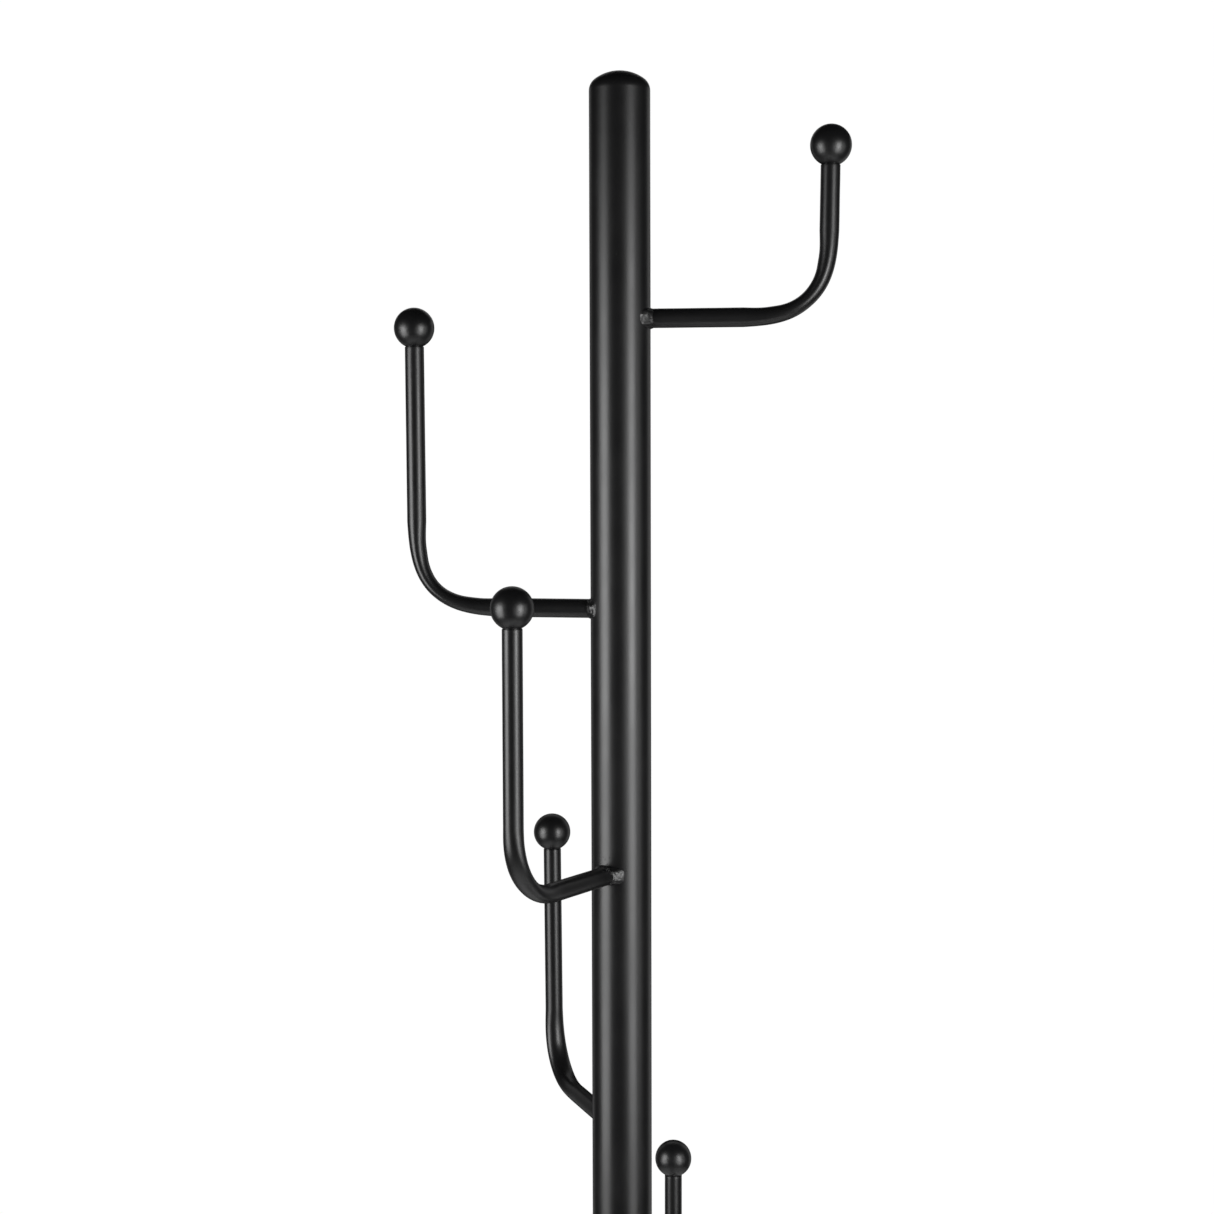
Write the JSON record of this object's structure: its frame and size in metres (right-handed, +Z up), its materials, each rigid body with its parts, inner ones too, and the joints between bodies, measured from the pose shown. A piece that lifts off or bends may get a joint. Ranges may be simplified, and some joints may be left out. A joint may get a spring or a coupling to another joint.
{
  "type": "standing coat rack",
  "caption": "Free-standing round pole on a round base plate with upturned bent-tube coat hooks around it, each tipped by a small ball, all in satin black powder coat.",
  "frame": {"origin": "on the floor, under the pole's axis, at the centre of the base plate", "axes": "+Z up along the pole; +X to the right and +Y away from the viewer as seen from the front; hook 1, the highest, points to the right"},
  "size_m": [0.35, 0.35, 1.75],
  "materials": {
    "powder_coat": "satin black powder coat, very fine orange peel",
    "coated_weld": "satin black powder coat over a lumpy weld bead, slightly glossier",
    "bare_steel": "turned plain steel",
    "zinc": "bright zinc plating",
    "rubber": "matt dark rubber"
  },
  "bodies": {
    "root": {"base_plate": "powder_coat", "floor_pads": "rubber", "base_screw": "zinc", "lower_pole": "powder_coat", "lower_pole_foot_plug": "bare_steel", "lower_pole_top_plug": "bare_steel", "joint_stud": "zinc", "upper_pole_bottom_plug": "bare_steel", "upper_pole": "powder_coat", "top_cap": "powder_coat", "hook_1_tube": "powder_coat", "hook_1_weld": "coated_weld", "hook_1_ball": "powder_coat", "hook_2_tube": "powder_coat", "hook_2_weld": "coated_weld", "hook_2_ball": "powder_coat", "hook_3_tube": "powder_coat", "hook_3_weld": "coated_weld", "hook_3_ball": "powder_coat", "hook_4_tube": "powder_coat", "hook_4_weld": "coated_weld", "hook_4_ball": "powder_coat", "hook_5_tube": "powder_coat", "hook_5_weld": "coated_weld", "hook_5_ball": "powder_coat", "hook_6_tube": "powder_coat", "hook_6_weld": "coated_weld", "hook_6_ball": "powder_coat", "hook_tip_plugs": "powder_coat", "ball_studs": "zinc"}
  },
  "joints": []
}
